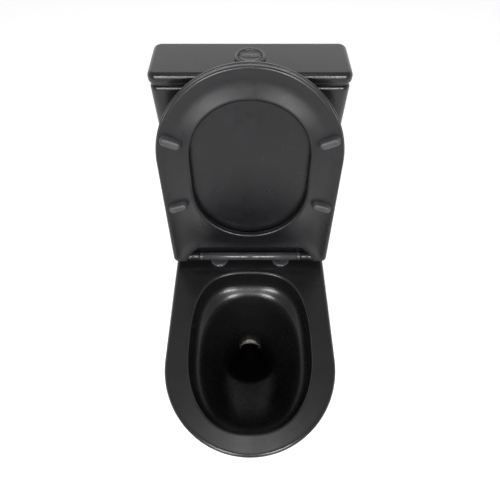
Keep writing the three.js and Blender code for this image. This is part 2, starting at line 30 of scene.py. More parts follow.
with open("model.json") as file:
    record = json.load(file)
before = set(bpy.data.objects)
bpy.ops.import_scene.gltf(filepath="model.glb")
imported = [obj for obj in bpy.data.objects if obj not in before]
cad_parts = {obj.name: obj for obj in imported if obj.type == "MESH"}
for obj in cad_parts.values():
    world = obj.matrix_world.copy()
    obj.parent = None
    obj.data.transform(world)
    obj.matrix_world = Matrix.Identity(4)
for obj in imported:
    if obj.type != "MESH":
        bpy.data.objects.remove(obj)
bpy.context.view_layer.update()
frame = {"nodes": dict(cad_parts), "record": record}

MM = 0.001

# ---------------------------------------------------------------- driving dimensions, in millimetres

DECK = 405  # height of the pan's flat top
CERAMIC = 10  # wall of the pan and the cistern
UNDER_DECK = DECK - 14
BACK = 340  # the wall
RIM = {"half": 181, "front": -340}
FOOT = {"half": 120, "front": -225}
FLARE = (70, DECK)  # the skirt widens between these heights
FLARE_SLOPE = 0.6  # and still leans out this much at the top
NOSE = 1.03  # depth of a round front over its half width
EDGE = 9  # round edge of the pan's top
MOUTH_ROLL = 5  # round edge between the deck and the bowl
BOLT_X = 80  # the two cistern bolts
FILL = (-140, 281)  # water inlet
SCREW = (200, 45)  # the pan's side screws: y, z

MOUTH = {"half": 131, "front": -296.5, "back": 60.4}
BOWL_CENTRE = (MOUTH["front"] + MOUTH["back"]) / 2

HINGE = (0, 96, 428)
OPEN_ANGLE = math.radians(101)
POST_X = 75
POST_Y = 100

SEAT = {"half": 182.5, "front": 445, "rear": -10, "corner": 13}
SEAT_HOLE = {"half": 118, "front": 387, "rear": 77.5}
RECESS = {"near": 127, "far": 149, "depth": 34}  # the seat's rear edge steps back from the barrel
SEAT_LIP = 5  # width of the seat's round edges
SEAT_KNUCKLE = [(121, 9.2), (121.8, 10), (151, 10), (152.6, 9.4)]
LID_KNUCKLE = [(112.4, 9.3), (113.1, 10), (119.7, 10), (120.4, 9.3)]
KNUCKLE_ROOM = 11  # radius of the lid's notches round the hinge
# Place, x, distance in front of the hinge, and turn in degrees of each pair of seat bumpers.
BUMPERS = [("front", 149, 308, 20), ("rear", 152, 158, -16)]
LID = {"half": 186.7, "front": 445.5, "rear": -10, "corner": 15}

CISTERN = {"half": 188.5, "front": 224, "back": 339.5, "corner": 16}
CISTERN_FOOT = 411
CISTERN_TOP = 795
CISTERN_FLOOR = 423
COVER = {"half": 190, "front": 223, "back": 340, "corner": 17}
COVER_LOW = 800
COVER_TOP = 820
COVER_SOFT = 9.5  # round top edge of the cistern's lid
COVER_TUCK = 4  # round lower edge
RIM_SOFT = 6.5  # round outer edge of the cistern's rim
BUTTON = (0, 281)
BUTTON_TURN = math.radians(-6)

# The studio, in metres.
BACKDROP = 1.25  # brightness of the studio behind the object
ROOM = 0.42  # and overhead and in front
GLOW = 0.4  # light that the floor gives off round and behind the object
FLOOR_FADE = (-1.1, -0.5)  # the floor changes from painted shade to painted glow between these places, along Y
CAMERA = (0, -0.455, 1.225)
LOOK_DOWN = math.radians(54.5)
LENS = 28.8  # for a sensor 36 mm wide

# ---------------------------------------------------------------- outlines: lists of (x, y)


def arc(x, y, rx, ry, start, end, steps):
    """Points along an arc of an ellipse, both ends included. Angles in degrees."""
    turns = [math.radians(start + (end - start) * i / steps) for i in range(steps + 1)]
    return [(x + rx * math.cos(t), y + ry * math.sin(t)) for t in turns]


def between(a, b, count):
    """Points strictly between a and b."""
    shares = [(i + 1) / (count + 1) for i in range(count)]
    return [(a[0] + (b[0] - a[0]) * s, a[1] + (b[1] - a[1]) * s) for s in shares]


def mirrored(right_half):
    """A closed outline from its right half, which runs from the front's middle to the back's middle."""
    left_half = [(-x, y) for x, y in reversed(right_half[1:-1])]
    return right_half + left_half


def horseshoe(half, front, back, corner, side_points=14, back_points=8):
    """A round front, straight sides and a flat back with small corners."""
    middle = front + half * NOSE
    nose = arc(0, middle, half, half * NOSE, -90, 0, 36)
    turn = arc(half - corner, back - corner, corner, corner, 0, 90, 5)
    side = between(nose[-1], turn[0], side_points)
    rear = between(turn[-1], (0, back), back_points)
    return mirrored(nose + side + turn + rear + [(0, back)])


def rounded_rectangle(half, front, back, corner, steps=8):
    """The plan of the cistern and its lid."""
    right = [(0, front)] + between((0, front), (half - corner, front), 5)
    right += arc(half - corner, front + corner, corner, corner, -90, 0, steps)
    right += between((half, front + corner), (half, back - corner), 2)
    right += arc(half - corner, back - corner, corner, corner, 0, 90, steps)
    right += between((half - corner, back), (0, back), 5) + [(0, back)]
    return mirrored(right)


def inset(outline, amount):
    """The outline moved inwards along its own normals."""
    moved = []
    for i, (x, y) in enumerate(outline):
        before = Vector(outline[i - 1])
        after = Vector(outline[(i + 1) % len(outline)])
        first = (Vector((x, y)) - before).normalized()
        second = (after - Vector((x, y))).normalized()
        along = (first + second).normalized()
        lean = max(0.5, along.dot(first))
        moved.append((x - along.y * amount / lean, y + along.x * amount / lean))
    return moved


def softened(path, radius, steps=5):
    """A path whose inner corners are rounded."""
    made = [path[0]]
    for before, corner, after in zip(path, path[1:], path[2:]):
        corner = Vector(corner)
        start = corner + (Vector(before) - corner).normalized() * radius
        end = corner + (Vector(after) - corner).normalized() * radius
        for i in range(steps + 1):
            s = i / steps
            made.append(tuple(start.lerp(corner, s).lerp(corner.lerp(end, s), s)))
    return made + [path[-1]]


def distance_to(outline, point):
    """From a point to the nearest side of a closed outline."""
    px, py = point
    nearest = math.inf
    for (ax, ay), (bx, by) in zip(outline, outline[1:] + outline[:1]):
        dx, dy = bx - ax, by - ay
        share = ((px - ax) * dx + (py - ay) * dy) / max(dx * dx + dy * dy, 1e-9)
        share = min(max(share, 0), 1)
        nearest = min(nearest, math.hypot(px - ax - share * dx, py - ay - share * dy))
    return nearest


def shrunk(outline, share, centre):
    """The outline scaled towards a centre."""
    cx, cy = centre
    return [(cx + (x - cx) * share, cy + (y - cy) * share) for x, y in outline]


def at_height(outline, z):
    return [(x, y, z) for x, y in outline]


def mix(a, b, share):
    return a + (b - a) * share


def blend_rings(first, second, share):
    return [tuple(mix(p, q, share) for p, q in zip(a, b)) for a, b in zip(first, second)]


# ---------------------------------------------------------------- meshes


class Shape:
    """Vertices and faces gathered for one piece."""

    def __init__(self):
        self.points = []
        self.faces = []
        self.slots = []

    def ring(self, points):
        start = len(self.points)
        self.points.extend(points)
        return list(range(start, start + len(points)))

    def face(self, corners, slot=0):
        self.faces.append(corners)
        self.slots.append(slot)

    def band(self, low, high, slot=0, keep=None):
        """Faces between two rings, or only those that keep allows."""
        count = len(low)
        for i in range(count):
            if keep is None or keep(i):
                j = (i + 1) % count
                self.face((low[i], low[j], high[j], high[i]), slot)

    def loft(self, rings, caps=True, closed=False, slot=0):
        """A skin through rings, capped at its ends or closed on itself."""
        made = [self.ring(r) for r in rings]
        pairs = list(zip(made, made[1:]))
        if closed:
            pairs.append((made[-1], made[0]))
        for low, high in pairs:
            self.band(low, high, slot)
        if caps and not closed:
            self.face(tuple(made[0]), slot)
            self.face(tuple(made[-1]), slot)
        return self

    def turned(self, profile, x=0, y=0, steps=48, slot=0):
        """A solid of revolution about a vertical axis. The profile is (radius, z) pairs."""
        on_axis = profile[0][0] == 0
        body = profile[1:-1] if on_axis else profile
        rings = []
        for r, z in body:
            rings.append([(x + px, y + py, z) for px, py in arc(0, 0, r, r, 0, 360, steps)[:-1]])
        return self.loft(rings, caps=on_axis, closed=not on_axis, slot=slot)

    def moved(self, matrix):
        self.points = [tuple(matrix @ Vector(p)) for p in self.points]
        return self

    def joined(self, other):
        start = len(self.points)
        self.points.extend(other.points)
        for corners, slot in zip(other.faces, other.slots):
            self.face(tuple(c + start for c in corners), slot)
        return self


def make(name, shape, materials, body, nodes=(), sharp=38, cutters=()):
    """Turns a shape into a piece that rides on a body and stands for the CAD nodes it hides, if any."""
    mesh = bpy.data.meshes.new(name)
    mesh.from_pydata([tuple(c * MM for c in p) for p in shape.points], [], shape.faces)
    for material in materials:
        mesh.materials.append(material)
    mesh.polygons.foreach_set("material_index", shape.slots)
    clean = bmesh.new()
    clean.from_mesh(mesh)
    bmesh.ops.remove_doubles(clean, verts=clean.verts, dist=1e-6)
    bmesh.ops.recalc_face_normals(clean, faces=clean.faces)
    clean.to_mesh(mesh)
    clean.free()
    piece = bpy.data.objects.new(name, mesh)
    bpy.context.scene.collection.objects.link(piece)
    if cutters:
        drill(piece, cutters)
    piece.data.shade_smooth()
    piece.data.set_sharp_from_angle(angle=math.radians(sharp))
    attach(piece, body)
    if nodes:
        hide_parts(*nodes)


def drill(piece, cutters):
    """Cuts each shape out of a piece."""
    for number, cutter in enumerate(cutters):
        mesh = bpy.data.meshes.new(f"cutter_{number}")
        mesh.from_pydata([tuple(c * MM for c in p) for p in cutter.points], [], cutter.faces)
        clean = bmesh.new()
        clean.from_mesh(mesh)
        bmesh.ops.recalc_face_normals(clean, faces=clean.faces)
        clean.to_mesh(mesh)
        clean.free()
        tool = bpy.data.objects.new(f"cutter_{number}", mesh)
        bpy.context.scene.collection.objects.link(tool)
        cut = piece.modifiers.new("cut", "BOOLEAN")
        cut.operation = "DIFFERENCE"
        cut.solver = "MANIFOLD"
        cut.object = tool
        graph = bpy.context.evaluated_depsgraph_get()
        result = bpy.data.meshes.new_from_object(piece.evaluated_get(graph))
        piece.modifiers.clear()
        piece.data = result
        bpy.data.objects.remove(tool)


def plug(x, y, r, low, high):
    """A plain cylinder for cutting holes."""
    return Shape().turned([(0, low), (r, low), (r, high), (0, high)], x, y, 40)


def along_x(r_profile):
    """A solid of revolution about the hinge axis from (x, radius) pairs, in closed-pose coordinates."""
    shape = Shape().turned([(r, x) for x, r in r_profile], steps=48)
    return shape.moved(Matrix(((0, 0, 1), (0, 1, 0), (-1, 0, 0))))


# Turns and moves a shape drawn closed about the hinge axis to its raised pose.
RAISE = Matrix.Translation(HINGE) @ Matrix.Rotation(-OPEN_ANGLE, 4, "X")

# ---------------------------------------------------------------- materials


class Nodes:
    """A material's node tree with a Principled shader and the object's own coordinates."""

    def __init__(self, name):
        self.material = bpy.data.materials.new(name)
        self.material.use_nodes = True
        self.tree = self.material.node_tree
        self.shader = self.tree.nodes["Principled BSDF"]
        self.place = self.tree.nodes.new("ShaderNodeTexCoord").outputs["Object"]

    def link(self, source, target):
        self.tree.links.new(source, target)

    def noise(self, scale, detail=2, rough=0.5):
        node = self.tree.nodes.new("ShaderNodeTexNoise")
        node.inputs["Scale"].default_value = scale
        node.inputs["Detail"].default_value = detail
        node.inputs["Roughness"].default_value = rough
        self.link(self.place, node.inputs["Vector"])
        return node.outputs["Fac"]

    def stretch(self, value, low, high, source=(0.3, 0.7)):
        """The value, mapped from its source range to low and high."""
        node = self.tree.nodes.new("ShaderNodeMapRange")
        node.inputs["From Min"].default_value = source[0]
        node.inputs["From Max"].default_value = source[1]
        node.inputs["To Min"].default_value = low
        node.inputs["To Max"].default_value = high
        self.link(value, node.inputs["Value"])
        return node.outputs["Result"]

    def colours(self, value, first, second, stops=(0.35, 0.65)):
        """Sets the base colour from a value, and returns it."""
        node = self.tree.nodes.new("ShaderNodeValToRGB")
        node.color_ramp.elements[0].position = stops[0]
        node.color_ramp.elements[1].position = stops[1]
        node.color_ramp.elements[0].color = (*first, 1)
        node.color_ramp.elements[1].color = (*second, 1)
        self.link(value, node.inputs["Fac"])
        self.link(node.outputs["Color"], self.shader.inputs["Base Color"])
        return node.outputs["Color"]

    def bump(self, value, depth, strength=1.0, under=None):
        """Adds relief, on top of the relief under it if there is any."""
        node = self.tree.nodes.new("ShaderNodeBump")
        node.inputs["Distance"].default_value = depth
        node.inputs["Strength"].default_value = strength
        self.link(value, node.inputs["Height"])
        if under is not None:
            self.link(under, node.inputs["Normal"])
        self.link(node.outputs["Normal"], self.shader.inputs["Normal"])
        return node.outputs["Normal"]


def satin_glaze():
    """Matt black glaze: a velvety skin with faint pooling and a fine grain."""
    m = Nodes("satin_black_glaze")
    m.colours(m.noise(9, 3), (0.0048, 0.0048, 0.0052), (0.007, 0.007, 0.0075))
    m.link(m.stretch(m.noise(26, 3), 0.24, 0.29), m.shader.inputs["Roughness"])
    waves = m.bump(m.noise(34, 1), 0.0006, 0.12)
    m.bump(m.noise(1400, 2), 0.00003, 0.5, waves)
    return m.material


def gloss_glaze():
    """The bowl's glaze: the same black, a little smoother."""
    m = Nodes("gloss_black_glaze")
    m.colours(m.noise(12, 2), (0.005, 0.005, 0.0052), (0.007, 0.007, 0.0073))
    m.link(m.stretch(m.noise(20, 2), 0.24, 0.3), m.shader.inputs["Roughness"])
    m.bump(m.noise(22, 1), 0.0008, 0.12)
    return m.material


def raw_ceramic():
    """Unglazed fired clay inside the pan's skirt and the cistern."""
    m = Nodes("raw_ceramic")
    m.colours(m.noise(40, 4), (0.42, 0.39, 0.34), (0.55, 0.52, 0.46))
    m.link(m.stretch(m.noise(300, 3), 0.75, 0.9), m.shader.inputs["Roughness"])
    m.bump(m.noise(700, 3), 0.00015, 0.6)
    return m.material


def seat_plastic():
    """Moulded satin black plastic with a fine spark-eroded grain."""
    m = Nodes("satin_black_plastic")
    m.colours(m.noise(14, 2), (0.0045, 0.0045, 0.0052), (0.0062, 0.0062, 0.0072))
    m.link(m.stretch(m.noise(60, 3), 0.27, 0.33), m.shader.inputs["Roughness"])
    m.bump(m.noise(2200, 2), 0.00002, 0.25)
    return m.material


def smooth_plastic(name, dark, light, rough=(0.3, 0.4)):
    """Moulded plastic with a slight mottle and a fine grain."""
    m = Nodes(name)
    m.colours(m.noise(45, 3), dark, light)
    m.link(m.stretch(m.noise(120, 3), *rough), m.shader.inputs["Roughness"])
    m.bump(m.noise(900, 2), 0.00003, 0.4)
    return m.material


def rubber():
    """Dull black rubber."""
    m = Nodes("black_rubber")
    m.colours(m.noise(80, 3), (0.014, 0.014, 0.014), (0.024, 0.024, 0.024))
    m.link(m.stretch(m.noise(200, 3), 0.62, 0.78), m.shader.inputs["Roughness"])
    m.bump(m.noise(1500, 3), 0.00006, 0.6)
    return m.material


def steel():
    """Brushed stainless steel: a fine grain with faint smears."""
    m = Nodes("brushed_steel")
    m.shader.inputs["Metallic"].default_value = 1.0
    m.colours(m.noise(500, 2), (0.52, 0.53, 0.54), (0.66, 0.67, 0.68))
    m.link(m.stretch(m.noise(60, 4), 0.22, 0.4), m.shader.inputs["Roughness"])
    m.bump(m.noise(2500, 2), 0.00002, 0.4)
    return m.material


GLAZE = satin_glaze()
GLOSS = gloss_glaze()
CLAY = raw_ceramic()
SEAT_PLASTIC = seat_plastic()
HINGE_PLASTIC = smooth_plastic(
    "hinge_black_plastic", (0.026, 0.026, 0.029), (0.034, 0.034, 0.038), (0.2, 0.27)
)
BUTTON_PLASTIC = smooth_plastic("button_black", (0.02, 0.02, 0.022), (0.026, 0.026, 0.028), (0.24, 0.3))
WHITE_PLASTIC = smooth_plastic("white_plastic", (0.68, 0.68, 0.65), (0.76, 0.76, 0.73))
BLUE_PLASTIC = smooth_plastic("blue_plastic", (0.05, 0.17, 0.4), (0.07, 0.2, 0.46))
GREY_PLASTIC = smooth_plastic("grey_plastic", (0.24, 0.25, 0.27), (0.3, 0.31, 0.33))
RUBBER = rubber()
BUMPER_RUBBER = smooth_plastic(
    "bumper_rubber", (0.03, 0.03, 0.033), (0.042, 0.042, 0.046), (0.36, 0.46)
)
STEEL = steel()

# The material of each of the record's slots, for the pieces that keep their CAD shape.
CAD_LOOKS = {
    "black_glaze": GLAZE,
    "black_plastic": HINGE_PLASTIC,
    "black_rubber": RUBBER,
    "white_plastic": WHITE_PLASTIC,
    "blue_plastic": BLUE_PLASTIC,
    "grey_plastic": GREY_PLASTIC,
    "steel": STEEL,
}

# ---------------------------------------------------------------- pan

# Levels of the bowl: height, half width, front, back, then how square its front and back are.
BOWL = [
    (400, 131, -296.5, 60.4, 2.35, 2.9),
    (380, 130.6, -296.2, 60, 2.35, 2.9),
    (366, 129.6, -295.2, 58.6, 2.35, 2.9),
    (358, 127.8, -293.4, 56, 2.35, 2.88),
    (352, 125, -290.6, 52, 2.32, 2.85),
    (347.5, 121.3, -287, 47, 2.3, 2.8),
    (344, 117.2, -283, 42, 2.3, 2.72),
    (340.5, 113.2, -279, 37.8, 2.28, 2.65),
    (336, 109.8, -275, 34.4, 2.26, 2.58),
    (328, 106.2, -268.6, 30.6, 2.23, 2.5),
    (318, 103, -261, 27.4, 2.21, 2.45),
    (305, 98.8, -249, 23.2, 2.18, 2.4),
    (290, 93.5, -235, 19, 2.15, 2.35),
    (270, 86, -211, 13, 2.1, 2.3),
    (252, 78.5, -186, 7.5, 2.1, 2.2),
    (238, 71.5, -165, 2.5, 2.05, 2.15),
    (229, 67, -151, -1, 2, 2.1),
    (222, 64, -143.5, -4, 2, 2.1),
    (214, 61, -138, -6, 2, 2.1),
    (200, 56, -129, -8, 2, 2.05),
    (184, 50, -119, -9.5, 2, 2),
    (168, 43.5, -108, -11, 2, 2),
    (156, 37.5, -97, -13, 2, 2),
]

# The trap's centreline from the bowl to the outlet: y, z and the bore's radius.
TRAP = [
    (-48, 146, 33), (-36, 138, 30), (-18, 134, 28), (4, 140, 27), (24, 155, 27), (44, 176, 27),
    (64, 200, 27), (86, 224, 27), (110, 240, 27), (134, 244, 27), (156, 236, 27), (176, 219, 27),
    (196, 199, 27), (216, 186, 27), (236, 181, 29), (250, 180, 36), (258, 180, 42), (264, 180, 43),
    (339, 180, 43),
]


def skirt(z, inward=0.0):
    """The pan's plan at a height."""
    rise = min(max((z - FLARE[0]) / (FLARE[1] - FLARE[0]), 0), 1)
    ease = (3 - FLARE_SLOPE) * rise**2 - (2 - FLARE_SLOPE) * rise**3
    half = mix(FOOT["half"], RIM["half"], ease)
    front = mix(FOOT["front"], RIM["front"], ease)
    return inset(horseshoe(half, front, BACK, 12), inward)


def oval_point(turn, half, front, back, front_power, back_power, grow):
    """The point of a squarish oval in a direction from its centre."""
    reach = (back - front) / 2 + grow
    power = back_power if math.sin(turn) > 0 else front_power
    across = abs(math.cos(turn) / (half + grow)) ** power
    deep = abs(math.sin(turn) / reach) ** power
    r = (across + deep) ** (-1 / power)
    return r * math.cos(turn), (front + back) / 2 + r * math.sin(turn)


def bowl_ring(turns, level, grow=0.0, drop=0.0):
    """A level of the bowl, one point for each direction, grown outwards and lowered."""
    z, half, front, back, front_power, back_power = level
    plan = [oval_point(t, half, front, back, front_power, back_power, grow) for t in turns]
    return at_height(plan, z - drop)


def trap_ring(turns, index, grow=0.0):
    """A section across the trap."""
    y, z, r = TRAP[index]
    before = TRAP[max(index - 1, 0)]
    after = TRAP[min(index + 1, len(TRAP) - 1)]
    way = Vector((after[0] - before[0], after[1] - before[1])).normalized()
    if index == 0:
        way = Vector((0.45, -0.9)).normalized()
    across = Vector((-way.y, way.x))
    r += grow
    points = []
    for t in turns:
        points.append((r * math.cos(t), y + r * math.sin(t) * across.x, z + r * math.sin(t) * across.y))
    return points


SKIRT_STEPS = 18
EDGE_STEPS = 7
ROLL_STEPS = 5
# Each stretch of the pan's sheet is a list of pairs: a ring of its outer face and one of its inner.


def skirt_sheet(plan):
    """From the floor up to the deck, round edge included."""
    shoulder = DECK - EDGE
    sheet = []
    for i in range(SKIRT_STEPS + 1):
        z = shoulder * i / SKIRT_STEPS
        sheet.append((at_height(skirt(z), z), at_height(skirt(z, CERAMIC), min(z, UNDER_DECK))))
    for i in range(1, EDGE_STEPS + 1):
        turn = math.pi / 2 * i / EDGE_STEPS
        inward = EDGE * (1 - math.cos(turn))
        z = shoulder + EDGE * math.sin(turn)
        inner = inset(plan, max(CERAMIC, inward) + 0.2 * i)
        sheet.append((at_height(skirt(z, inward), z), at_height(inner, UNDER_DECK)))
    return sheet


def deck_sheet(edge, turns):
    """From the round edge to the bowl's mouth, over the roll and down to the bowl's wall."""
    mouth = BOWL[0][1:]
    mouth_edge = bowl_ring(turns, (DECK, *mouth), MOUTH_ROLL + 2)
    sheet = []
    for share in (0.04, 0.3, 0.6, 1):
        flat = blend_rings(edge, mouth_edge, share)
        sheet.append((flat, [(x, y, UNDER_DECK) for x, y, _ in flat]))
    for i in range(ROLL_STEPS + 1):
        turn = math.pi / 2 * i / ROLL_STEPS
        grow = MOUTH_ROLL * (1 - math.sin(turn))
        z = DECK - MOUTH_ROLL * (1 - math.cos(turn))
        low = UNDER_DECK - 2 * (DECK - z) / MOUTH_ROLL
        sheet.append((bowl_ring(turns, (z, *mouth), grow), bowl_ring(turns, (low, *mouth), CERAMIC)))
    return sheet


def bowl_sheet(turns):
    sheet = []
    for level in BOWL[1:]:
        drop = 4 if level[0] < DECK - 60 else 0
        sheet.append((bowl_ring(turns, level), bowl_ring(turns, level, CERAMIC, drop)))
    return sheet


def trap_sheet(turns):
    wall = 8
    return [(trap_ring(turns, i), trap_ring(turns, i, wall)) for i in range(len(TRAP))]


def pan_shape():
    """One thick sheet: up the skirt, over the deck, down the bowl and through the trap to the outlet."""
    plan = skirt(DECK)
    turns = [math.atan2(y - BOWL_CENTRE, x) for x, y in plan]
    sheet = skirt_sheet(plan)
    sheet += deck_sheet(sheet[-1][0], turns)
    gloss_from = len(sheet) - 1
    sheet += bowl_sheet(turns) + trap_sheet(turns)
    shape = Shape()
    tops = [shape.ring(outer) for outer, _ in sheet]
    unders = [shape.ring(inner) for _, inner in sheet]
    count = len(plan)

    def kept(k, i):
        """The skirt has no back."""
        behind = min(plan[i][1], plan[(i + 1) % count][1]) > BACK - 1
        return not (k < SKIRT_STEPS and behind)

    for k in range(len(tops) - 1):
        slot = 1 if k >= gloss_from else 0
        shape.band(tops[k], tops[k + 1], slot, keep=lambda i: kept(k, i))
        shape.band(unders[k], unders[k + 1], 2, keep=lambda i: kept(k, i))
        for i in range(count):
            if kept(k, i) != kept(k, i - 1):
                shape.face((tops[k][i], tops[k + 1][i], unders[k + 1][i], unders[k][i]), 0)
    for i in range(count):
        j = (i + 1) % count
        if kept(0, i):
            shape.face((tops[0][i], tops[0][j], unders[0][j], unders[0][i]), 2)
        else:
            k = SKIRT_STEPS
            shape.face((tops[k][i], tops[k][j], unders[k][j], unders[k][i]), 0)
        shape.face((tops[-1][i], tops[-1][j], unders[-1][j], unders[-1][i]), 0)
    return shape


def make_pan():
    """The pan with its holes for the inlets, bolts, seat posts and side screws, and the inlet's well."""
    x, y = BUTTON
    low, high = DECK - 40, DECK + 10
    holes = [plug(x, y, 46, low, high), plug(*FILL, 24, low, high)]
    for side in (-1, 1):
        holes.append(plug(side * BOLT_X, FILL[1], 6, low, high))
        holes.append(plug(side * POST_X, POST_Y, 8, low, high))
        bar = plug(0, 0, 4.6, side * 120 - 20, side * 120 + 20)
        turn = Matrix.Rotation(math.pi / 2, 4, "Y")
        holes.append(bar.moved(Matrix.Translation((0, *SCREW)) @ turn))
    nodes = [name for name in frame["nodes"] if name.split("_")[0] == "pan"]
    make("pan_ceramic", pan_shape(), [GLAZE, GLOSS, CLAY], "fixed", nodes, sharp=50, cutters=holes)
    well = [
        (46, DECK - 1), (54, UNDER_DECK + 1), (54, 351), (36, 342), (27, 342), (27, 361), (30, 378.6),
        (46, 378.6),
    ]
    make("flush_inlet_well", Shape().turned(well, x, y, 56), [CLAY], "fixed")


make_pan()

# ---------------------------------------------------------------- cistern


def tray_loft(box, levels):
    """A skin through rounded rectangles, each a distance inside the box at a height."""
    rings = []
    for d, z in levels:
        corner = max(box["corner"] - d, 3)
        plan = rounded_rectangle(box["half"] - d, box["front"] + d, box["back"] - d, corner)
        rings.append(at_height(plan, z))
    return Shape().loft(rings)


def cistern_shape():
    """Floor, outside, rim and inside of the open ceramic box, in one skin."""
    levels = [(50, CISTERN_FOOT), (7, CISTERN_FOOT)]
    for i in range(6):
        turn = math.pi / 2 * i / 5
        levels.append((6 * (1 - math.sin(turn)), CISTERN_FOOT + 6 * (1 - math.cos(turn))))
    levels += [(0, 500), (0, 650), (0, CISTERN_TOP - 12)]
    for i in range(9):
        turn = math.pi / 2 * i / 8
        levels.append((RIM_SOFT * (1 - math.cos(turn)), CISTERN_TOP - RIM_SOFT * (1 - math.sin(turn))))
    levels += [(7.4, CISTERN_TOP), (8.6, CISTERN_TOP - 0.8), (9, CISTERN_TOP - 2.4), (9, CISTERN_TOP - 12)]
    levels += [(9.5, 600), (10, CISTERN_FLOOR + 12), (13, CISTERN_FLOOR + 4)]
    levels += [(20, CISTERN_FLOOR), (50, CISTERN_FLOOR)]
    return tray_loft(CISTERN, levels)


def make_cistern():
    """The cistern with holes in its floor for the flush valve, the fill valve and two bolts."""
    low, high = CISTERN_FOOT - 11, CISTERN_FLOOR + 17
    holes = [plug(*BUTTON, 33, low, high), plug(*FILL, 12, low, high)]
    for side in (-1, 1):
        holes.append(plug(side * BOLT_X, FILL[1], 6, low, high))
    make("cistern_ceramic", cistern_shape(), [GLAZE], "fixed", ["cistern"], cutters=holes)


def cover_shape():
    """A slab with a soft top edge. Under it are a rebate, and a tongue that drops into the cistern."""
    levels = [(40, 799.5), (18, 799.5), (18, 788), (16.5, 786), (12.5, 786), (11, 788)]
    levels += [(11, 795.8), (4, 795.8), (4.6, 799.6), (4.4, COVER_LOW)]
    for i in range(7):
        turn = math.pi / 2 * i / 6
        levels.append((COVER_TUCK * (1 - math.sin(turn)), COVER_LOW + COVER_TUCK * (1 - math.cos(turn))))
    for i in range(10):
        turn = math.pi / 2 * i / 9
        levels.append((COVER_SOFT * (1 - math.cos(turn)), COVER_TOP - COVER_SOFT * (1 - math.sin(turn))))
    levels.append((COVER_SOFT + 0.8, COVER_TOP))
    return tray_loft(COVER, levels)


def make_cover():
    """The cistern's lid with the hole for the button."""
    hole = plug(*BUTTON, 25, 780, 830)
    make("cistern_lid_ceramic", cover_shape(), [GLAZE], "cistern_cover", ["cistern_lid"], cutters=[hole])


make_cistern()
make_cover()

# ---------------------------------------------------------------- flush button


def make_bezel():
    """The round ring that holds the two buttons."""
    profile = [
        (22.6, 776), (24, 776), (24, 820.3), (29.4, 820.3), (29.9, 820.9), (30, 821.8), (29.6, 823),
        (28.6, 824.2), (27.2, 824.8), (25.4, 825), (24, 824.8), (23.1, 824.1), (22.7, 823), (22.6, 821),
    ]
    shape = Shape().turned(profile, *BUTTON, 96)
    make("button_bezel_ring", shape, [BUTTON_PLASTIC], "cistern_cover", ["button_bezel"], sharp=50)


def half_disc(r, gap, corner):
    """The plan of one half of the button, on the +Y side, with small corners at its straight edge."""
    start = math.degrees(math.asin((gap + corner) / r))
    right = between((0, gap), (r - 1.6 * corner, gap), 4)
    right += [(r - 0.8 * corner, gap + 0.3 * corner)]
    right += arc(0, 0, r, r, start, 90, 16)
    left = [(-x, y) for x, y in reversed(right[:-1])]
    return [(0, gap)] + right + left


def make_button(name, side, body):
    """A half disc with a soft edge and a shallow dish in its top."""
    outline = half_disc(22, 0.5, 1.2)
    rings = [at_height(inset(outline, 1.4), 814), at_height(inset(outline, 0.6), 814)]
    rings += [at_height(outline, 815), at_height(outline, 822.4)]
    edge = [(0.25, 823.2), (0.8, 823.8), (1.5, 824), (2.6, 823.9)]
    dish = [(4.2, 823.5), (6.5, 823.2), (8.2, 823.1)]
    for d, z in edge + dish:
        rings.append(at_height(inset(outline, d), z))
    shape = Shape().loft(rings)
    shape.joined(Shape().turned([(0, 792), (5, 792), (5, 815), (0, 815)], 8, 11, 24))
    turn = Matrix.Rotation(BUTTON_TURN + (0 if side > 0 else math.pi), 4, "Z")
    shape.moved(Matrix.Translation((*BUTTON, 0)) @ turn)
    make(f"{name}_cap", shape, [BUTTON_PLASTIC], body, [name], sharp=50)


make_bezel()
make_button("full_flush_button", 1, "full_button")
make_button("half_flush_button", -1, "half_button")

# ---------------------------------------------------------------- seat


def seat_outline(centre_y):
    """The seat's closed plan with its stepped rear edge, and each point's direction to the hole."""
    half, front, rear, corner = SEAT["half"], -SEAT["front"], -SEAT["rear"], SEAT["corner"]
    middle = front + half * NOSE
    nose = arc(0, middle, half, half * NOSE, -90, 0, 40)
    turn = arc(half - corner, rear - corner, corner, corner, 0, 90, 6)
    body = nose + between(nose[-1], turn[0], 14) + turn
    far, near, depth = RECESS["far"], RECESS["near"], RECESS["depth"]
    step = softened([turn[-1], (far, rear), (far, -8), (near, -depth), (0, -depth)], 7)[1:-1]
    step += between(step[-1], (0, -depth), 12) + [(0, -depth)]
    directions = [math.atan2(y - centre_y, x) for x, y in body]
    last = directions[-1]
    directions += [mix(last, math.pi / 2, (i + 1) / len(step)) for i in range(len(step))]
    directions += [math.pi - t for t in reversed(directions[1:-1])]
    return mirrored(body + step), directions


def hole_outline(turns, centre_y):
    """The seat's long round-ended hole, one point for each direction from its centre."""
    half = SEAT_HOLE["half"]
    reach = (SEAT_HOLE["front"] - SEAT_HOLE["rear"]) / 2
    straight = reach - half
    points = []
    for t in turns:
        c, s = math.cos(t), math.sin(t)
        r = half / abs(c) if abs(c) > 1e-6 else reach
        if abs(r * s) > straight:
            r = straight * abs(s) + math.sqrt(half**2 - (straight * c) ** 2)
        points.append((r * c, centre_y + r * s))
    return points


def underside(point, outer, inner):
    """Height of the seat's dished underside, which falls to a lip round the hole and one outside."""
    highest, hole_fall, edge_fall = -8, 4.9, 2.9
    hole_reach, edge_reach = 44, 28
    to_hole = min(max((distance_to(inner, point) - SEAT_LIP) / hole_reach, 0), 1)
    to_edge = min(max((distance_to(outer, point) - SEAT_LIP) / edge_reach, 0), 1)
    return highest - hole_fall * (1 - to_hole) ** 2 - edge_fall * (1 - to_edge) ** 2


